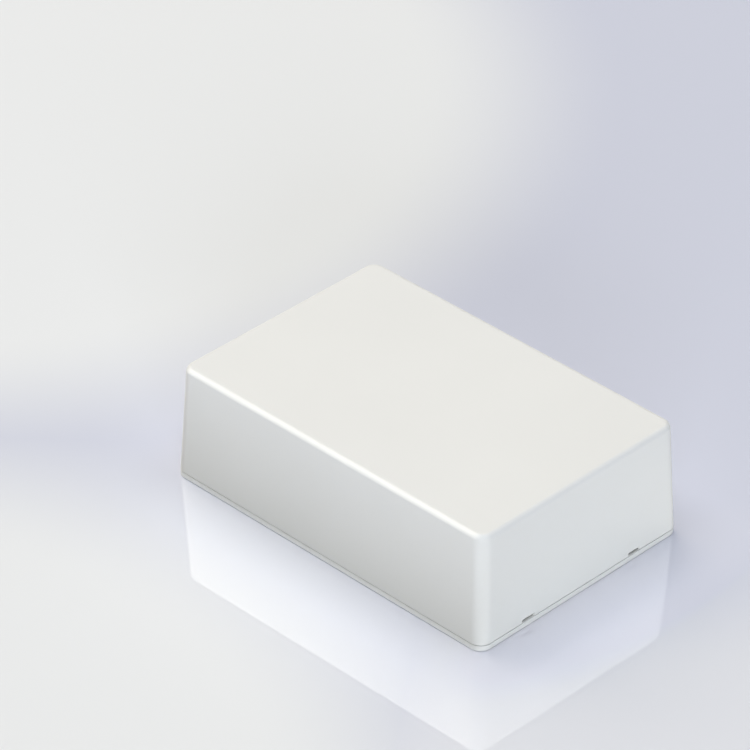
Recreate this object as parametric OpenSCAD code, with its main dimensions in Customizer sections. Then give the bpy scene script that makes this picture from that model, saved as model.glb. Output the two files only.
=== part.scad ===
// Snap-fit plastic project box: a deep tapered cover over a thin base plate.
// Millimetres, +Z up. The origin is on the underside, in the middle of the case.
//
// Both mouldings are built from flat sections that are carried round the case.
// A section's x is measured outwards from the corner centres, its y is the height.
// The cover's shell is drawn upright, and each of its quarters then leans inwards.

/* [Case] */
// Length over the base plate, along X
case_length = 125.6; // [100:0.2:180]
// Width over the base plate, along Y
case_width = 84.4; // [78:0.1:120]
// Height from the underside to the roof
case_height = 38.7; // [26:0.1:60]
// Lean of the cover's walls, in degrees
wall_draft = 2.6; // [0.5:0.1:5]
// Plan radius of the upright corners, the same from foot to roof
corner_radius = 4; // [3.8:0.1:10]
// Radius of the edge between roof and walls
roof_edge_radius = 1.6; // [0.5:0.1:2.4]

/* [Cover] */
// Thickness of the cover's walls
wall_thickness = 2; // [1.6:0.1:2.4]
// Thickness of the roof
roof_thickness = 2; // [1.5:0.1:3]
// Chamfer inside, between roof and walls
roof_chamfer = 1; // [0.4:0.1:1.2]
// Chamfer inside the rim, which guides it over the lip
rim_chamfer = 0.5; // [0.2:0.1:0.9]

/* [Base plate] */
// Thickness of the base plate
base_thickness = 2.2; // [1.8:0.1:3]
// Radius of the plate's lower edge
base_edge_radius = 0.5; // [0.2:0.1:1]
// Height of the shadow groove under the cover's rim
groove_height = 0.2; // [0.1:0.05:0.5]
// Depth of the shadow groove
groove_depth = 0.4; // [0.2:0.1:0.8]

/* [Locating lip] */
// Height of the lip above the plate
lip_height = 4; // [2:0.1:6]
// Thickness of the lip where it meets the plate
lip_thickness = 1.6; // [1.2:0.1:2]
// Gap between the lip and the cover
lip_clearance = 0.3; // [0.2:0.05:0.5]
// Chamfer on the lip's outer top edge
lip_chamfer = 0.5; // [0.2:0.1:0.7]

/* [Pry slots] */
// Width of a slot in the cover's rim
slot_width = 5; // [3:0.1:6]
// Height of a slot above the base plate
slot_height = 1.1; // [0.6:0.1:1.6]

/* [Snap hooks] */
// Distance between the two hooks of an end, and between its slots
hook_spacing = 45; // [24:0.5:46]
// Width of a hook
hook_width = 6; // [4:0.5:8]
// Thickness of a hook at the plate
hook_root_thickness = 2; // [1.6:0.1:2.6]
// Thickness of a hook at its barb
hook_tip_thickness = 1.4; // [1:0.1:1.6]
// How far the barb stands out from its hook
barb_depth = 0.9; // [0.5:0.1:1.2]
// Height of the barb's straight nose
barb_land = 0.5; // [0.3:0.1:1]
// Gap between a released barb and its catch
hook_clearance = 0.2; // [0.15:0.05:0.4]
// Gap between a hook and the ends of the lip
hook_side_gap = 1.2; // [0.8:0.1:2]

/* [Catches] */
// Height of a catch's holding face above the rim
catch_level = 6.6; // [5:0.1:10]
// How far a catch stands in from the wall
catch_depth = 1.3; // [0.8:0.1:1.6]
// Height of a catch's straight nose
catch_land = 0.6; // [0.3:0.1:1]
// Width of a catch
catch_width = 7; // [5:0.5:8]

/* [Wall ribs] */
// Number of ribs inside each long wall, which they divide evenly
rib_count = 3; // [1:1:6]
// Thickness of a rib
rib_thickness = 1.2; // [0.8:0.1:1.6]
// Thickness of the nose that holds the lip from inside
rib_nose = 1.2; // [0.8:0.1:1.5]
// Gap between a rib's nose and the base plate
rib_floor_gap = 1.2; // [0.4:0.1:2]

/* [Board posts] */
// Distance of the posts from the ends of the case
post_setback_x = 10.8; // [10.8:0.1:20]
// Distance of the posts from the long sides of the case
post_setback_y = 12.2; // [10:0.1:16]
// Height of a post above the plate
post_height = 5; // [3:0.5:10]
// Diameter of a post at the plate
post_diameter = 6.6; // [5:0.1:8]
// Taper of a post, in degrees
post_draft = 1; // [0.5:0.1:2]
// Diameter of the pilot hole for a self-tapping screw
pilot_diameter = 2.4; // [1.8:0.1:3]
// Plastic left under a pilot hole
pilot_floor = 1.3; // [1:0.1:1.6]
// Thickness of the gussets and of the floor ribs
gusset_thickness = 1.2; // [0.8:0.1:1.6]
// How far a gusset reaches out from its post
gusset_reach = 1.8; // [1:0.1:2.2]
// Height of a gusset above the plate
gusset_height = 3; // [2:0.1:3]
// Height of the floor ribs above the plate
floor_rib_height = 1.2; // [0.6:0.1:2]

/* [Hidden] */
$fn = 64;

// How far shapes of one moulding run into each other
weld = 0.3;
// How far a cut runs past what it cuts
overrun = 1;
// Gap between the lip's top and a rib's notch
notch_headroom = 0.5;
// Gap between a barb's underside and its catch
barb_headroom = 0.15;
// Chamfer along the foot of a hook
hook_foot = 0.6;

lean = tan(wall_draft);
wall_span = wall_thickness / cos(wall_draft);
corner_x = case_length / 2 - corner_radius;
corner_y = case_width / 2 - corner_radius;

// How far the leaning walls have come in at the roof
roof_inset = (case_height - base_thickness) * lean;

// Distance of the cover's outer and inner faces from the corner centres of the foot
function outer_face(z) = corner_radius - (z - base_thickness) * lean;
function inner_face(z) = outer_face(z) - wall_span;

ceiling = case_height - roof_thickness;
lip_top = base_thickness + lip_height;
lip_inside = inner_face(base_thickness) - lip_clearance - lip_thickness;

catch_top = base_thickness + catch_level;
catch_tip = inner_face(catch_top) - catch_depth;
barb_tip = catch_tip - hook_clearance;
barb_bottom = catch_top + barb_headroom;
barb_top = barb_bottom + barb_land + barb_depth;
hook_face = barb_tip - barb_depth;

rib_inside = lip_inside - lip_clearance - rib_nose;

// Where a post stands, from the middle of the case
post_x = case_length / 2 - post_setback_x;
post_y = case_width / 2 - post_setback_y;

// Places its children at each hook: two at either end of the case
module at_hooks() {
    for (end = [0, 180])
        for (side = [-1, 1])
            rotate([0, 0, end])
                translate([corner_x, side * hook_spacing / 2, 0])
                    children();
}

// Places its children at each rib: a row along either long wall
module at_ribs() {
    pitch = case_length / (rib_count + 1);
    for (wall = [90, 270])
        for (i = [1:rib_count])
            rotate([0, 0, wall])
                translate([corner_y, i * pitch - case_length / 2, 0])
                    children();
}

// Places its children at each board post
module at_posts() {
    for (x = [-1, 1])
        for (y = [-1, 1])
            translate([x * post_x, y * post_y, 0])
                children();
}

// Stands a flat section up and gives it a width along the wall
module upright(width) {
    translate([0, width / 2, 0])
        rotate([90, 0, 0])
            linear_extrude(width)
                children();
}

// Carries a section round the case: a quarter turn at each corner, straight between.
// What a section has inside the corner centres is left out of the turns.
module round_the_case() {
    for (side = [0:3]) {
        lengthwise = side % 2 == 1;
        reach = lengthwise ? corner_y : corner_x;
        run = 2 * (lengthwise ? corner_x : corner_y);
        rotate([0, 0, 90 * side]) {
            translate([reach, 0, 0])
                upright(run)
                    children();
            translate([reach, run / 2, 0])
                rotate_extrude(angle = 90)
                    intersection() {
                        square([corner_radius, case_height]);
                        children();
                    }
        }
    }
}

// Quarter of a disc, in the first quadrant
module quarter_disc(radius) {
    intersection() {
        circle(radius);
        square(radius);
    }
}

// Leans what stands upright in the first quadrant inwards, along X and Y alike.
// A corner keeps its radius, because each of its level sections moves as a whole.
module leaning() {
    multmatrix([
        [1, 0, -lean, base_thickness * lean],
        [0, 1, -lean, base_thickness * lean],
        [0, 0, 1, 0]
    ])
        children();
}

// Upright wall and roof edge, rounded outside and chamfered inside
module cover_section() {
    edge_x = corner_radius - roof_edge_radius;
    edge_z = case_height - roof_edge_radius;
    inside = corner_radius - wall_span;
    polygon([
        [corner_radius, base_thickness],
        [corner_radius, edge_z],
        [edge_x, edge_z],
        [edge_x, case_height],
        [0, case_height],
        [0, ceiling],
        [inside - roof_chamfer, ceiling],
        [inside, ceiling - roof_chamfer],
        [inside, base_thickness + rim_chamfer],
        [inside + rim_chamfer, base_thickness]
    ]);
    translate([edge_x, edge_z])
        quarter_disc(roof_edge_radius);
}

// Quarter of the cover's shell: a corner, half of two walls and the roof between
module shell_quarter() {
    half_x = corner_x + roof_inset + weld;
    half_y = corner_y + roof_inset + weld;
    intersection() {
        translate([-weld, -weld, 0])
            cube([case_length / 2 + weld, case_width / 2 + weld, case_height]);
        leaning() {
            translate([corner_x, corner_y, 0])
                rotate_extrude(angle = 90)
                    cover_section();
            translate([corner_x, corner_y - half_y / 2, 0])
                upright(half_y)
                    cover_section();
            translate([corner_x - half_x / 2, corner_y, 0])
                rotate([0, 0, 90])
                    upright(half_x)
                        cover_section();
            translate([corner_x - half_x, corner_y - half_y, ceiling])
                cube([half_x, half_y, roof_thickness]);
        }
    }
}

module shell() {
    for (flip_x = [0, 1])
        for (flip_y = [0, 1])
            mirror([flip_x, 0, 0])
                mirror([0, flip_y, 0])
                    shell_quarter();
}

// Ledge that a barb snaps over, with a ramp below it
module catch_section() {
    back = inner_face(catch_top) + wall_thickness / 2;
    nose_bottom = catch_top - catch_land;
    ramp_bottom = nose_bottom - catch_depth;
    polygon([
        [back, ramp_bottom],
        [inner_face(ramp_bottom), ramp_bottom],
        [catch_tip, nose_bottom],
        [catch_tip, catch_top],
        [back, catch_top]
    ]);
}

// Rib with a notch over the lip, whose nose keeps the long wall from bowing out
module rib_section() {
    nose_outside = lip_inside - lip_clearance;
    nose_bottom = base_thickness + rib_floor_gap;
    notch_top = lip_top + notch_headroom;
    rib_top = ceiling + weld;
    polygon([
        [rib_inside, nose_bottom],
        [nose_outside - rib_nose / 2, nose_bottom],
        [nose_outside, nose_bottom + rib_nose / 2],
        [nose_outside, notch_top],
        [inner_face(notch_top) + weld, notch_top],
        [inner_face(rib_top) + weld, rib_top],
        [rib_inside, rib_top]
    ]);
}

// Notch in the rim for the blade that opens the case
module pry_slot() {
    through = outer_face(base_thickness) + overrun;
    translate([0, -slot_width / 2, base_thickness - overrun])
        cube([through, slot_width, slot_height + overrun]);
}

module cover() {
    color("whitesmoke") {
        difference() {
            shell();
            at_hooks()
                pry_slot();
        }
        at_hooks()
            upright(catch_width)
                catch_section();
        at_ribs()
            upright(rib_thickness)
                rib_section();
    }
}

// Edge of the plate: rounded below, with the shadow groove above
module plate_section() {
    groove_bottom = base_thickness - groove_height;
    polygon([
        [0, 0],
        [corner_radius - base_edge_radius, 0],
        [corner_radius - base_edge_radius, base_edge_radius],
        [corner_radius, base_edge_radius],
        [corner_radius, groove_bottom],
        [corner_radius - groove_depth, groove_bottom],
        [corner_radius - groove_depth, base_thickness],
        [0, base_thickness]
    ]);
    translate([corner_radius - base_edge_radius, base_edge_radius])
        mirror([0, 1])
            quarter_disc(base_edge_radius);
}

// Lip that follows the cover's wall inside, upright on its own inner side
module lip_section() {
    root = base_thickness - weld;
    chamfer_bottom = lip_top - lip_chamfer;
    polygon([
        [lip_inside, root],
        [inner_face(base_thickness) - lip_clearance, root],
        [inner_face(base_thickness) - lip_clearance, base_thickness],
        [inner_face(chamfer_bottom) - lip_clearance, chamfer_bottom],
        [inner_face(lip_top) - lip_clearance - lip_chamfer, lip_top],
        [lip_inside, lip_top]
    ]);
}

module lip() {
    gap = hook_width + 2 * hook_side_gap;
    difference() {
        round_the_case()
            lip_section();
        at_hooks()
            translate([0, -gap / 2, 0])
                cube([corner_radius, gap, lip_top + overrun]);
    }
}

// Springy arm with a barb, drawn in the released position
module hook_section() {
    root = base_thickness - weld;
    foot_top = base_thickness + hook_foot;
    root_inside = hook_face - hook_root_thickness;
    tip_inside = hook_face - hook_tip_thickness;
    polygon([
        [root_inside - hook_foot, root],
        [hook_face + hook_foot, root],
        [hook_face + hook_foot, base_thickness],
        [hook_face, foot_top],
        [hook_face, barb_bottom],
        [barb_tip, barb_bottom],
        [barb_tip, barb_bottom + barb_land],
        [hook_face, barb_top],
        [tip_inside, barb_top],
        [root_inside, foot_top],
        [root_inside - hook_foot, base_thickness]
    ]);
}

// Four triangular gussets that brace a post
module post_gussets() {
    reach = post_diameter / 2 + gusset_reach;
    for (turn = [0:90:270])
        rotate([0, 0, turn])
            upright(gusset_thickness)
                polygon([
                    [0, base_thickness - weld],
                    [reach, base_thickness - weld],
                    [reach, base_thickness],
                    [post_diameter / 2 - weld, base_thickness + gusset_height],
                    [0, base_thickness + gusset_height]
                ]);
}

// Tapered post that carries a corner of the board
module board_post() {
    top_diameter = post_diameter - 2 * post_height * tan(post_draft);
    translate([0, 0, base_thickness - weld])
        cylinder(d = post_diameter, h = weld);
    translate([0, 0, base_thickness])
        cylinder(d1 = post_diameter, d2 = top_diameter, h = post_height);
    post_gussets();
}

module pilot_hole() {
    translate([0, 0, pilot_floor])
        cylinder(d = pilot_diameter, h = base_thickness + post_height);
}

// Low ribs that tie the posts together
module floor_ribs() {
    height = floor_rib_height + weld;
    for (side = [-1, 1])
        translate([0, 0, base_thickness - weld + height / 2]) {
            translate([0, side * post_y, 0])
                cube([2 * post_x, gusset_thickness, height], center = true);
            translate([side * post_x, 0, 0])
                cube([gusset_thickness, 2 * post_y, height], center = true);
        }
}

module base() {
    color("gainsboro") {
        difference() {
            union() {
                round_the_case()
                    plate_section();
                translate([-corner_x, -corner_y, 0])
                    cube([2 * corner_x, 2 * corner_y, base_thickness]);
                floor_ribs();
                at_posts()
                    board_post();
            }
            at_posts()
                pilot_hole();
        }
        lip();
        at_hooks()
            upright(hook_width)
                hook_section();
    }
}

cover();
base();
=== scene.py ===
"""Looks of a two-piece plastic project box.

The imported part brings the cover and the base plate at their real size. This script gives both
mouldings their satin finish, adds the marks that ejector pins leave inside them, and stands the
box in a plain studio. Lengths are in metres and the frame is the part's own: X along the box,
Y across it, Z up from the floor. The camera and the lamps stand at an azimuth, which turns from
the front (-Y) towards the right-hand end (+X), and an elevation over the floor, both in degrees.
"""

import logging
import math
from dataclasses import dataclass
from enum import Enum

import bmesh
import bpy
from mathutils import Matrix, Vector


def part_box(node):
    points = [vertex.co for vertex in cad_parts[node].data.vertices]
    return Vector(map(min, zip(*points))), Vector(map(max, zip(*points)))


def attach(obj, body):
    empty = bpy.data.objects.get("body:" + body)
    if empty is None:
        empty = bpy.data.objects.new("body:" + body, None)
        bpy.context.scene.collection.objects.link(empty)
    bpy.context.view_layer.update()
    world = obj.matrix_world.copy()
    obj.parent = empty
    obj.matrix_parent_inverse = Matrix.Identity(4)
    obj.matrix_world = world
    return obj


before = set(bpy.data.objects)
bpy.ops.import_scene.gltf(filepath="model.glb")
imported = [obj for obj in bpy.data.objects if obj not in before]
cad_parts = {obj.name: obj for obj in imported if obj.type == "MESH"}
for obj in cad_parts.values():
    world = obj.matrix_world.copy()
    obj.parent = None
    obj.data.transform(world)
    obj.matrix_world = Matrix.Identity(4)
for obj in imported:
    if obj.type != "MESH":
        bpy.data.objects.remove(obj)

LOG = logging.getLogger("project_box")
MILLIMETRE = 0.001

Colour = tuple[float, float, float]
Socket = bpy.types.NodeSocket

BLACK: Colour = (0.0, 0.0, 0.0)
WHITE: Colour = (1.0, 1.0, 1.0)

# Sockets of a Mix node when it mixes colours
MIX_SHARE = 0
MIX_FIRST = 6
MIX_SECOND = 7
MIX_RESULT = 2


class Facing(Enum):
    """The side of a moulding that its marks lie on. Its value is the way that side faces, in Z."""

    ROOF_INSIDE = -1.0
    PLATE_INSIDE = 1.0

    @property
    def outward(self) -> Vector:
        """Return the direction in which the marked surface faces."""
        return Vector((0.0, 0.0, self.value))


class Reach(Enum):
    """Which of the box's reflections a lamp makes."""

    SOFT = "soft"
    GLOSS = "gloss"


def opaque(colour: Colour) -> tuple[float, float, float, float]:
    """Return a colour with full opacity, as a node's socket takes it."""
    return (*colour, 1.0)


def shade(colour: Colour, factor: float) -> Colour:
    """Return a colour made lighter or darker by a factor, and no lighter than white."""
    return tuple(min(1.0, part * factor) for part in colour)


def direction(azimuth: float, elevation: float) -> Vector:
    """Return the direction from the box towards an azimuth and an elevation in degrees."""
    a, e = math.radians(azimuth), math.radians(elevation)
    return Vector((math.sin(a) * math.cos(e), -math.cos(a) * math.cos(e), math.sin(e)))


def spread(index: int, count: int) -> float:
    """Return a place from -1 to 1 for one of several evenly spread things."""
    return 0.0 if count == 1 else 2.0 * index / (count - 1) - 1.0


def mesh_object(
    name: str, mesh: bmesh.types.BMesh, material: bpy.types.Material
) -> bpy.types.Object:
    """Turn a built mesh into an object of the scene.

    Args:
        name: The object's name.
        mesh: The built mesh, which is freed.
        material: The object's only material.

    Returns:
        The new object, with smooth shading.
    """
    data = bpy.data.meshes.new(name)
    bmesh.ops.recalc_face_normals(mesh, faces=mesh.faces)
    mesh.to_mesh(data)
    mesh.free()
    data.materials.append(material)
    data.shade_smooth()
    made = bpy.data.objects.new(name, data)
    bpy.context.scene.collection.objects.link(made)
    return made


class NodeTree:
    """A short way to write the nodes of one material or world."""

    def __init__(self, owner: bpy.types.Material | bpy.types.World) -> None:
        """Start an empty node tree.

        Args:
            owner: The material or world that the tree belongs to.
        """
        owner.use_nodes = True
        self.tree = owner.node_tree
        self.tree.nodes.clear()

    def add(
        self, kind: str, inputs: dict[str | int, object] | None = None, **settings: object
    ) -> bpy.types.Node:
        """Add one node.

        Args:
            kind: The node's type name, without the ShaderNode that it starts with.
            inputs: A value or an output socket for each input socket, by name or number.
            **settings: Properties of the node itself.

        Returns:
            The new node.
        """
        node = self.tree.nodes.new("ShaderNode" + kind)
        for name, value in settings.items():
            setattr(node, name, value)
        for name, value in (inputs or {}).items():
            self.feed(node.inputs[name], value)
        return node

    def feed(self, socket: Socket, value: object) -> None:
        """Link an output socket to an input socket, or set the input's own value.

        Args:
            socket: The input socket.
            value: An output socket, a number or a colour.
        """
        if isinstance(value, Socket):
            self.tree.links.new(value, socket)
        else:
            socket.default_value = value

    def math(self, operation: str, first: object, second: object) -> Socket:
        """Return the result of a Math node on two numbers or sockets."""
        return self.add("Math", {0: first, 1: second}, operation=operation).outputs[0]

    def vector(self, operation: str, *operands: object) -> bpy.types.Node:
        """Add a Vector Math node on one or two vectors or sockets."""
        return self.add("VectorMath", dict(enumerate(operands)), operation=operation)

    def span(self, value: object, old: tuple[float, float], new: tuple[float, float]) -> Socket:
        """Carry a value from one range to another, smoothly and held at both ends.

        Args:
            value: The number or socket to carry over.
            old: Where the value's own range starts and ends.
            new: What the result is at the start and at the end of that range.

        Returns:
            The result's output socket.
        """
        inputs = {
            "Value": value,
            "From Min": old[0],
            "From Max": old[1],
            "To Min": new[0],
            "To Max": new[1],
        }
        return self.add("MapRange", inputs, interpolation_type="SMOOTHSTEP").outputs["Result"]

    def blend(self, share: object, first: object, second: object) -> Socket:
        """Return a mix of two colours, the second by the given share."""
        inputs = {MIX_SHARE: share, MIX_FIRST: first, MIX_SECOND: second}
        return self.add("Mix", inputs, data_type="RGBA").outputs[MIX_RESULT]


@dataclass(frozen=True)
class Pattern:
    """A soft random pattern that runs through a moulding.

    Attributes:
        size: Rough size of its spots.
        detail: How many finer layers lie over the spots.
        finer_share: Strength of each finer layer against the layer before it.
    """

    size: float
    detail: float
    finer_share: float = 0.5

    def value(self, nodes: NodeTree, place: Socket) -> Socket:
        """Return the pattern's value at a place, from 0 to 1.

        Args:
            nodes: The material's node tree.
            place: The place in the moulding.

        Returns:
            The value's output socket.
        """
        inputs = {
            "Vector": place,
            "Scale": 1.0 / self.size,
            "Detail": self.detail,
            "Roughness": self.finer_share,
        }
        return nodes.add("TexNoise", inputs).outputs["Fac"]


@dataclass(frozen=True)
class AbsFinish:
    """Injection-moulded ABS: satin outside, duller inside, fine mould grain all over, painted
    shade in slots.

    Attributes:
        name: The material's name.
        colour: The plastic's own colour.
        refraction: The plastic's index of refraction.
        outside_roughness: How dull the outside is.
        inside_roughness: How dull the inside is.
        roughness_play: How far the dullness goes up and down over the surface.
        roughness_span: The part of the patterns' range that it goes up over.
        tone_play: The share by which the colour goes lighter and darker.
        tone_span: The part of the patterns' range that it goes lighter over.
        flow_share: How much the flow counts in the colour. The grain counts for the rest.
        flow: How the melt's flow shows in the colour and the dullness.
        grain: The fine grain of the mould.
        grain_depth: Depth of the grain.
        peel: The faint waviness of a moulded surface.
        peel_depth: Depth of the waviness.
        edge_radius: Radius by which sharp edges look rounded.
        edge_samples: How many rays feel for an edge.
        painted_shade_reach: How near a surface opposite has to be for shade to be painted into a
            slot.
        painted_shade_span: How open a place is where the painted shade is darkest, and where it
            stops.
        painted_shade_level: The share of the colour that is left where the painted shade is
            darkest.
        painted_shade_samples: How many rays feel for a slot, to place the painted shade.
    """

    name: str
    colour: Colour = (0.823, 0.815, 0.783)
    refraction: float = 1.53
    outside_roughness: float = 0.31
    inside_roughness: float = 0.44
    roughness_play: float = 0.025
    roughness_span: tuple[float, float] = (0.3, 0.7)
    tone_play: float = 0.012
    tone_span: tuple[float, float] = (0.25, 0.75)
    flow_share: float = 0.7
    flow: Pattern = Pattern(size=45.0 * MILLIMETRE, detail=2.0)
    grain: Pattern = Pattern(size=0.35 * MILLIMETRE, detail=3.0)
    grain_depth: float = 0.0025 * MILLIMETRE
    peel: Pattern = Pattern(size=3.0 * MILLIMETRE, detail=1.0)
    peel_depth: float = 0.002 * MILLIMETRE
    edge_radius: float = 0.15 * MILLIMETRE
    edge_samples: int = 4
    # Painted shade: the colour darkens in slots and the parting line, where little light gets in.
    painted_shade_reach: float = 3.0 * MILLIMETRE
    painted_shade_span: tuple[float, float] = (0.03, 0.24)
    painted_shade_level: float = 0.38
    painted_shade_samples: int = 8

    def material(self, centre: Vector) -> bpy.types.Material:
        """Make the finish for one moulding.

        Args:
            centre: The middle of the moulding's space. Surfaces that face it are its inside.

        Returns:
            The new material.
        """
        made = bpy.data.materials.new(self.name)
        nodes = NodeTree(made)
        place = nodes.add("TexCoord").outputs["Object"]
        flow = self.flow.value(nodes, place)
        grain = self.grain.value(nodes, place)
        peel = self.peel.value(nodes, place)
        inside = self.inside(nodes, place, centre)
        shader = nodes.add(
            "BsdfPrincipled",
            {
                "Base Color": self.tone(nodes, flow, grain),
                "Roughness": self.roughness(nodes, inside, flow, grain),
                "Normal": self.relief(nodes, grain, peel),
                "IOR": self.refraction,
            },
        )
        nodes.add("OutputMaterial", {"Surface": shader.outputs["BSDF"]})
        return made

    def tone(self, nodes: NodeTree, flow: Socket, grain: Socket) -> Socket:
        """Vary the plastic's colour with the melt's flow and the grain, and paint shade into
        slots.

        Args:
            nodes: The material's node tree.
            flow: The flow's value.
            grain: The grain's value.

        Returns:
            The colour's output socket.
        """
        low = opaque(shade(self.colour, 1.0 - self.tone_play))
        high = opaque(shade(self.colour, 1.0 + self.tone_play))
        # deep is painted shade: the plastic's colour darkened for slots and the parting line.
        deep = opaque(shade(self.colour, self.painted_shade_level))
        flow_part = nodes.math("MULTIPLY", flow, self.flow_share)
        grain_part = nodes.math("MULTIPLY", grain, 1.0 - self.flow_share)
        pattern = nodes.math("ADD", flow_part, grain_part)
        plastic = nodes.blend(nodes.span(pattern, self.tone_span, (0.0, 1.0)), low, high)
        # Paint shade: darken the colour towards deep where openness falls, in slots and the
        # parting line.
        return nodes.blend(self.painted_shade_openness(nodes), deep, plastic)

    def painted_shade_openness(self, nodes: NodeTree) -> Socket:
        """Return 1 on open surfaces, falling to 0 deep in a slot or in the parting line, where
        shade is painted.
        """
        free = nodes.add(
            "AmbientOcclusion", {"Distance": self.painted_shade_reach}, samples=self.painted_shade_samples
        )
        return nodes.span(free.outputs["AO"], self.painted_shade_span, (0.0, 1.0))

    @staticmethod
    def inside(nodes: NodeTree, place: Socket, centre: Vector) -> Socket:
        """Tell the moulding's inside from its outside.

        Args:
            nodes: The material's node tree.
            place: The place on the surface.
            centre: The middle of the moulding's space.

        Returns:
            The output socket of a value that is 1 inside and 0 outside.
        """
        offset = nodes.vector("SUBTRACT", place, centre).outputs["Vector"]
        normal = nodes.add("TexCoord").outputs["Normal"]
        outward = nodes.vector("DOT_PRODUCT", offset, normal).outputs["Value"]
        return nodes.math("LESS_THAN", outward, 0.0)

    def roughness(self, nodes: NodeTree, inside: Socket, flow: Socket, grain: Socket) -> Socket:
        """Make the surface satin outside and duller inside, with a little play in both.

        Args:
            nodes: The material's node tree.
            inside: A value that is 1 inside the moulding and 0 outside it.
            flow: The flow's value.
            grain: The grain's value.

        Returns:
            The roughness's output socket.
        """
        extra = nodes.math("MULTIPLY", inside, self.inside_roughness - self.outside_roughness)
        level = nodes.math("ADD", extra, self.outside_roughness)
        mean = nodes.math("MULTIPLY", nodes.math("ADD", flow, grain), 0.5)
        play = nodes.span(mean, self.roughness_span, (-1.0, 1.0))
        return nodes.math("ADD", level, nodes.math("MULTIPLY", play, self.roughness_play))

    def relief(self, nodes: NodeTree, grain: Socket, peel: Socket) -> Socket:
        """Soften the edges and lay a faint waviness and the mould's grain over the surface.

        Args:
            nodes: The material's node tree.
            grain: The grain's value.
            peel: The waviness's value.

        Returns:
            The output socket of the surface's direction.
        """
        edges = nodes.add("Bevel", {"Radius": self.edge_radius}, samples=self.edge_samples)
        relief = edges.outputs["Normal"]
        for pattern, depth in ((peel, self.peel_depth), (grain, self.grain_depth)):
            bump = nodes.add("Bump", {"Height": pattern, "Distance": depth, "Normal": relief})
            relief = bump.outputs["Normal"]
        return relief


@dataclass(frozen=True)
class EjectorMarks:
    """Shallow round pads with a raised rim, where pins pushed a moulding off the mould's core.

    Attributes:
        diameter: Diameter of a pad.
        rise: Height of its flat middle over the surface.
        rim_rise: Height of its rim.
        rim_width: Width of its rim, which the rim's section is measured in.
        flat_end: How far in from its edge the flat middle ends, in rim widths.
        rim_section: Points of the rim: how far in, in rim widths, and the share of its height.
        edge_share: Height of its edge as a share of the middle's.
        root: How deep it starts under the surface.
        segments: How many sides its circle has.
    """

    diameter: float = 5.0 * MILLIMETRE
    rise: float = 0.06 * MILLIMETRE
    rim_rise: float = 0.12 * MILLIMETRE
    rim_width: float = 0.25 * MILLIMETRE
    flat_end: float = 1.6
    rim_section: tuple[tuple[float, float], ...] = ((1.0, 0.85), (0.6, 1.0), (0.2, 0.8))
    edge_share: float = 0.5
    root: float = 0.05 * MILLIMETRE
    segments: int = 48

    def profile(self) -> list[tuple[float, float]]:
        """Draw the half section of a pad, from its middle to its root.

        Returns:
            The section's points, each a radius and a height.
        """
        edge = self.diameter / 2
        rim = [
            (edge - inset * self.rim_width, self.rim_rise * share)
            for inset, share in self.rim_section
        ]
        return [
            (0.0, self.rise),
            (edge - self.flat_end * self.rim_width, self.rise),
            *rim,
            (edge, self.rise * self.edge_share),
            (edge, -self.root),
        ]

    def add_to(self, mesh: bmesh.types.BMesh, seat: Vector, outward: Vector) -> None:
        """Turn one pad about its seat.

        Args:
            mesh: The mesh that takes the pad.
            seat: The pad's middle on the moulding's surface.
            outward: The direction in which that surface faces.
        """
        turn = outward.to_track_quat("Z", "Y").to_matrix().to_4x4()
        place = Matrix.Translation(seat) @ turn
        middle, *others = self.profile()
        tip = mesh.verts.new(place @ Vector((0.0, 0.0, middle[1])))
        angles = [math.tau * k / self.segments for k in range(self.segments)]
        rings = []
        for radius, height in others:
            points = [Vector((radius * math.cos(a), radius * math.sin(a), height)) for a in angles]
            rings.append([mesh.verts.new(place @ point) for point in points])
        for k in range(self.segments):
            following = (k + 1) % self.segments
            mesh.faces.new((tip, rings[0][k], rings[0][following]))
            for inner, outer in zip(rings, rings[1:]):
                mesh.faces.new((inner[k], outer[k], outer[following], inner[following]))
        mesh.faces.new(tuple(reversed(rings[-1])))


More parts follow.
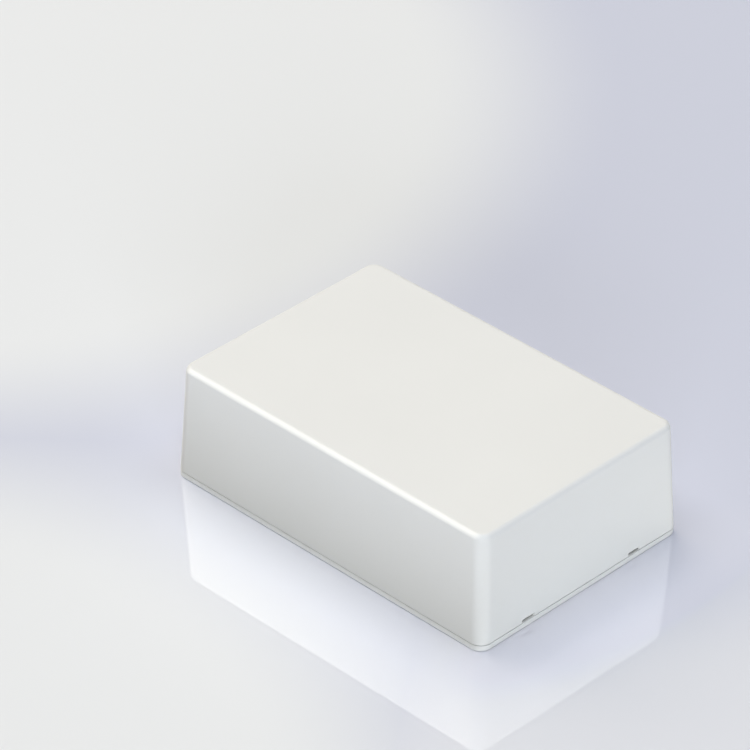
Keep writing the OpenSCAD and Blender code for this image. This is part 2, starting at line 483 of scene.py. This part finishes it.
@dataclass
class Moulding:
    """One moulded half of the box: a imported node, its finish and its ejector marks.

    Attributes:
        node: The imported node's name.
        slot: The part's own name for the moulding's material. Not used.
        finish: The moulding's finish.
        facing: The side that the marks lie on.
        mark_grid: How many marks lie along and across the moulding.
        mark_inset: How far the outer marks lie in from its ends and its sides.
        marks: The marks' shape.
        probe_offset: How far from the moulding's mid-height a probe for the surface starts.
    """

    node: str
    slot: str
    finish: AbsFinish
    facing: Facing
    mark_grid: tuple[int, int]
    mark_inset: tuple[float, float]
    marks: EjectorMarks = EjectorMarks()
    probe_offset: float = 12.0 * MILLIMETRE

    def __post_init__(self) -> None:
        """Read the moulding's box and make its material."""
        self.low, self.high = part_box(self.node)
        self.material = self.finish.material((self.low + self.high) / 2)

    def dress(self) -> bpy.types.Object:
        """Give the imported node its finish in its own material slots.

        Returns:
            The dressed node.
        """
        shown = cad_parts[self.node]
        for holder in shown.material_slots:
            holder.material = self.material
        return shown

    def grid(self) -> list[Vector]:
        """Lay out the marks in plan, evenly and inset from the moulding's outline.

        Returns:
            The middle of each mark, at no height yet.
        """
        columns, rows = self.mark_grid
        along, across = self.high.x - self.mark_inset[0], self.high.y - self.mark_inset[1]
        return [
            Vector((along * spread(i, columns), across * spread(j, rows), 0.0))
            for i in range(columns)
            for j in range(rows)
        ]

    def seats(self) -> list[Vector]:
        """Probe the moulding's inner surface for the place of each mark.

        Returns:
            The middle of each mark on the surface.
        """
        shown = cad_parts[self.node]
        start_height = (self.low.z + self.high.z) / 2 + self.facing.value * self.probe_offset
        found = []
        for place in self.grid():
            start = Vector((place.x, place.y, start_height))
            hit, seat, _, _ = shown.ray_cast(start, -self.facing.outward)
            if hit:
                found.append(seat)
        return found

    def build_marks(self) -> bpy.types.Object:
        """Build the ejector marks as one piece that rides with the moulding.

        Returns:
            The new piece.
        """
        mesh = bmesh.new()
        for seat in self.seats():
            self.marks.add_to(mesh, seat, self.facing.outward)
        piece = mesh_object(f"{self.node}_ejector_marks", mesh, self.material)
        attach(piece, self.node)
        return piece


@dataclass
class Cover(Moulding):
    """The deep cover, with its marks under the roof."""

    node: str = "cover"
    slot: str = "cover_plastic"
    finish: AbsFinish = AbsFinish("satin_abs_cover")
    facing: Facing = Facing.ROOF_INSIDE
    mark_grid: tuple[int, int] = (3, 2)
    mark_inset: tuple[float, float] = (16.0 * MILLIMETRE, 14.0 * MILLIMETRE)


@dataclass
class BasePlate(Moulding):
    """The thin base plate, with its marks between the board posts."""

    node: str = "base"
    slot: str = "base_plastic"
    finish: AbsFinish = AbsFinish("satin_abs_base")
    facing: Facing = Facing.PLATE_INSIDE
    mark_grid: tuple[int, int] = (4, 2)
    mark_inset: tuple[float, float] = (22.0 * MILLIMETRE, 9.0 * MILLIMETRE)


@dataclass(frozen=True)
class StudioCamera:
    """A long lens that looks down on the box over its front right corner.

    Attributes:
        azimuth: Where it stands round the box.
        elevation: How high it stands.
        roll: How far it leans about its own line of sight, in degrees.
        distance: How far from the middle of the box's foot it stands.
        aim_right: How far to the right of there it aims.
        aim_up: How far above there it aims.
        lens_mm: Focal length in millimetres.
        sensor_mm: Width of the sensor in millimetres.
    """

    azimuth: float = 44.35
    elevation: float = 34.35
    roll: float = 0.37
    distance: float = 1.4028
    aim_right: float = -0.01503
    aim_up: float = 0.03737
    lens_mm: float = 227.63
    sensor_mm: float = 36.0

    def build(self) -> None:
        """Set up the scene's camera."""
        turn = math.radians(self.azimuth)
        back = direction(self.azimuth, self.elevation)
        right = Vector((math.cos(turn), math.sin(turn), 0.0))
        up = back.cross(right)
        lens = bpy.data.cameras.new("camera")
        lens.lens = self.lens_mm
        lens.sensor_width = self.sensor_mm
        camera = bpy.data.objects.new("camera", lens)
        bpy.context.scene.collection.objects.link(camera)
        axes = Matrix((right, up, back)).transposed()
        axes = axes @ Matrix.Rotation(math.radians(self.roll), 3, "Z")
        camera.rotation_mode = "QUATERNION"
        camera.rotation_quaternion = axes.to_quaternion()
        camera.location = back * self.distance + right * self.aim_right + up * self.aim_up
        bpy.context.scene.camera = camera


@dataclass(frozen=True)
class SoftBox:
    """A rectangular studio lamp that points at the box.

    Attributes:
        name: The lamp's name.
        azimuth: Where it hangs round the box.
        elevation: How high it hangs.
        width: Its width.
        height: Its height.
        power: Its power in watts.
        colour: The colour of its light.
        distance: How far from the middle of the box's foot it hangs.
        reach: Which reflections it makes.
    """

    name: str
    azimuth: float
    elevation: float
    width: float
    height: float
    power: float
    colour: Colour
    distance: float = 6.0
    reach: Reach = Reach.SOFT

    def build(self, subject: bpy.types.Collection) -> None:
        """Hang the lamp.

        Args:
            subject: The box's own pieces. A lamp for gloss shines on nothing else.
        """
        lamp = bpy.data.lights.new(self.name, "AREA")
        lamp.shape = "RECTANGLE"
        lamp.size = self.width
        lamp.size_y = self.height
        lamp.energy = self.power
        lamp.color = self.colour
        made = bpy.data.objects.new(self.name, lamp)
        bpy.context.scene.collection.objects.link(made)
        away = direction(self.azimuth, self.elevation)
        made.location = away * self.distance
        made.rotation_mode = "QUATERNION"
        made.rotation_quaternion = away.to_track_quat("Z", "Y")
        made.visible_camera = False
        made.visible_diffuse = self.reach is Reach.SOFT
        made.visible_glossy = self.reach is Reach.GLOSS
        if self.reach is Reach.GLOSS:
            made.light_linking.receiver_collection = subject


@dataclass(frozen=True)
class BouncePatch:
    """A rectangle of floor that sends more or less soft light back up to the wall beside it.

    Attributes:
        centre: Its middle, along X and Y.
        half: Half its length and half its width.
        colour: The floor's colour there, as soft light meets it.
    """

    centre: tuple[float, float]
    half: tuple[float, float]
    colour: Colour

    def share(self, nodes: NodeTree, place: Socket) -> Socket:
        """Tell the patch from the floor round it.

        Args:
            nodes: The floor's node tree.
            place: The place on the floor.

        Returns:
            The output socket of a value that is 1 in the patch and 0 elsewhere.
        """
        offset = nodes.vector("SUBTRACT", place, (*self.centre, 0.0)).outputs["Vector"]
        size = nodes.vector("ABSOLUTE", offset).outputs["Vector"]
        axes = nodes.add("SeparateXYZ", {"Vector": size}).outputs
        along = nodes.math("LESS_THAN", axes["X"], self.half[0])
        across = nodes.math("LESS_THAN", axes["Y"], self.half[1])
        return nodes.math("MULTIPLY", along, across)


@dataclass(frozen=True)
class LightPool:
    """A soft oval of light painted on the floor, which only the camera sees.

    Attributes:
        centre: Its middle, along X and Y.
        reach: How far it goes from there along X and Y.
        colour: The painted light that it adds.
        softness: Half the share of its reach over which it fades.
    """

    centre: tuple[float, float]
    reach: tuple[float, float]
    colour: Colour
    softness: float

    def glow(self, nodes: NodeTree, place: Socket) -> Socket:
        """Paint light on the oval, from its full colour well inside to black outside.

        Args:
            nodes: The floor's node tree.
            place: The place on the floor.

        Returns:
            The colour's output socket.
        """
        offset = nodes.vector("SUBTRACT", place, (*self.centre, 0.0)).outputs["Vector"]
        oval = nodes.vector("DIVIDE", offset, (*self.reach, 1.0)).outputs["Vector"]
        distance = nodes.vector("LENGTH", oval).outputs["Value"]
        share = nodes.span(distance, (1.0 - self.softness, 1.0 + self.softness), (1.0, 0.0))
        return nodes.blend(share, opaque(BLACK), opaque(self.colour))


@dataclass(frozen=True)
class FloorFinish:
    """Polished pale floor that mirrors the box faintly and has pools of light painted on it.

    Attributes:
        name: The material's name.
        colour: The floor's own colour, which the camera sees.
        bounce: Its colour as soft light meets it.
        gloss: How much of it is a mirror to the camera.
        roughness: How blurred that mirror is.
        pools: Pools of painted light that the camera sees.
        patches: Places with another bounce.
    """

    name: str = "pale_floor"
    colour: Colour = (0.685, 0.70, 0.80)
    bounce: Colour = (0.775, 0.79, 0.85)
    gloss: float = 0.19
    roughness: float = 0.02
    # Painted light on the floor: pools to the left and in front, and two beside the box's
    # right-hand end.
    pools: tuple[LightPool, ...] = (
        LightPool(
            centre=(-0.27, 0.06), reach=(0.18, 0.19),
            colour=(0.20, 0.19, 0.10), softness=0.20,
        ),
        LightPool(
            centre=(-0.02, -0.21), reach=(0.16, 0.15),
            colour=(0.20, 0.19, 0.10), softness=0.25,
        ),
        LightPool(
            centre=(0.16, -0.06), reach=(0.10, 0.12),
            colour=(0.135, 0.125, 0.070), softness=0.35,
        ),
        LightPool(
            centre=(0.075, -0.010), reach=(0.022, 0.056),
            colour=(0.120, 0.105, 0.085), softness=0.50,
        ),
    )
    patches: tuple[BouncePatch, ...] = (
        BouncePatch(centre=(0.0, -0.0602), half=(0.13, 0.017), colour=(0.26, 0.25, 0.24)),
        BouncePatch(centre=(0.0838, 0.012), half=(0.020, 0.058), colour=(0.95, 0.95, 0.95)),
    )

    def material(self) -> bpy.types.Material:
        """Make the finish. Only the camera sees the floor's own colour, gloss and painted pools.

        Returns:
            The new material.
        """
        made = bpy.data.materials.new(self.name)
        nodes = NodeTree(made)
        seen = nodes.add("LightPath").outputs["Is Camera Ray"]
        place = nodes.add("TexCoord").outputs["Object"]
        bounce = opaque(self.bounce)
        for patch in self.patches:
            bounce = nodes.blend(patch.share(nodes, place), bounce, opaque(patch.colour))
        matt = nodes.add("BsdfDiffuse", {"Color": nodes.blend(seen, bounce, opaque(self.colour))})
        mirror = nodes.add(
            "BsdfAnisotropic", {"Color": opaque(WHITE), "Roughness": self.roughness}
        )
        share = nodes.math("MULTIPLY", seen, self.gloss)
        polished = nodes.add("MixShader", {0: share, 1: matt.outputs[0], 2: mirror.outputs[0]})
        # Painted light: the pools glow in the floor's colour, for the camera only.
        painted_pool_light = BLACK
        for pool in self.pools:
            painted_pool_light = nodes.vector("MAXIMUM", painted_pool_light, pool.glow(nodes, place)).outputs["Vector"]
        glow = nodes.add("Emission", {"Color": painted_pool_light, "Strength": seen})
        lit = nodes.add("AddShader", {0: polished.outputs[0], 1: glow.outputs[0]})
        nodes.add("OutputMaterial", {"Surface": lit.outputs[0]})
        return made


@dataclass(frozen=True)
class Sky:
    """What surrounds the studio. It gives no soft light, so that the lamps alone light the box.

    Attributes:
        name: The world's name.
        ambient: What soft light meets there.
        mirrored: What gloss meets there.
        seen: What the camera meets there, beyond the floor's edge.
    """

    name: str = "studio"
    ambient: Colour = BLACK
    mirrored: Colour = (0.22, 0.23, 0.25)
    seen: Colour = (0.70, 0.72, 0.77)

    def build(self) -> None:
        """Make the scene's world."""
        world = bpy.data.worlds.new(self.name)
        nodes = NodeTree(world)
        path = nodes.add("LightPath").outputs
        lit = nodes.blend(path["Is Glossy Ray"], opaque(self.ambient), opaque(self.mirrored))
        colour = nodes.blend(path["Is Camera Ray"], lit, opaque(self.seen))
        glow = nodes.add("Background", {"Color": colour})
        nodes.add("OutputWorld", {"Surface": glow.outputs[0]})
        bpy.context.scene.world = world


@dataclass(frozen=True)
class Studio:
    """The plain pale floor, the sky over it and the lamps.

    Attributes:
        floor_half: Half the floor's side.
        floor_drop: How far under the base plate the floor lies, so that they never share a plane.
        floor: The floor's finish.
        sky: What surrounds the studio.
        lamps: The lamps.
    """

    floor_half: float = 30.0
    floor_drop: float = 0.02 * MILLIMETRE
    floor: FloorFinish = FloorFinish()
    sky: Sky = Sky()
    lamps: tuple[SoftBox, ...] = (
        SoftBox(
            "overhead", azimuth=0.0, elevation=89.0, width=6.0, height=6.0, power=268.0,
            colour=(0.778, 0.860, 1.0),
        ),
        SoftBox(
            "left", azimuth=-100.0, elevation=45.0, width=6.0, height=6.0, power=328.0,
            colour=(1.0, 0.903, 0.727),
        ),
        SoftBox(
            "front", azimuth=47.0, elevation=10.0, width=3.0, height=2.0, power=227.0,
            colour=(0.916, 0.962, 1.0),
        ),
        SoftBox(
            "edge", azimuth=-46.0, elevation=30.0, width=1.2, height=1.8, power=20.0,
            colour=(1.0, 0.988, 0.863), distance=1.2, reach=Reach.GLOSS,
        ),
    )

    def build(self, pieces: list[bpy.types.Object]) -> None:
        """Build the floor, the sky and the lamps.

        Args:
            pieces: The box's own pieces.
        """
        self.build_floor()
        self.sky.build()
        subject = bpy.data.collections.new("box_pieces")
        for piece in pieces:
            subject.objects.link(piece)
        for lamp in self.lamps:
            lamp.build(subject)

    def build_floor(self) -> None:
        """Lay a wide pale floor."""
        mesh = bmesh.new()
        bmesh.ops.create_grid(mesh, x_segments=1, y_segments=1, size=self.floor_half)
        floor = mesh_object("floor", mesh, self.floor.material())
        floor.location.z = -self.floor_drop


def main() -> None:
    """Dress the box, add its marks, stand it in the studio and report each piece."""
    logging.basicConfig(level=logging.INFO, format="%(message)s")
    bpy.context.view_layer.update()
    StudioCamera().build()
    pieces = []
    for moulding in (Cover(), BasePlate()):
        for piece in (moulding.dress(), moulding.build_marks()):
            LOG.info(
                "%s: %d faces in %s", piece.name, len(piece.data.polygons), moulding.finish.name
            )
            pieces.append(piece)
    Studio().build(pieces)
    bpy.context.scene.view_settings.view_transform = "Standard"


if __name__ == "__main__":
    main()
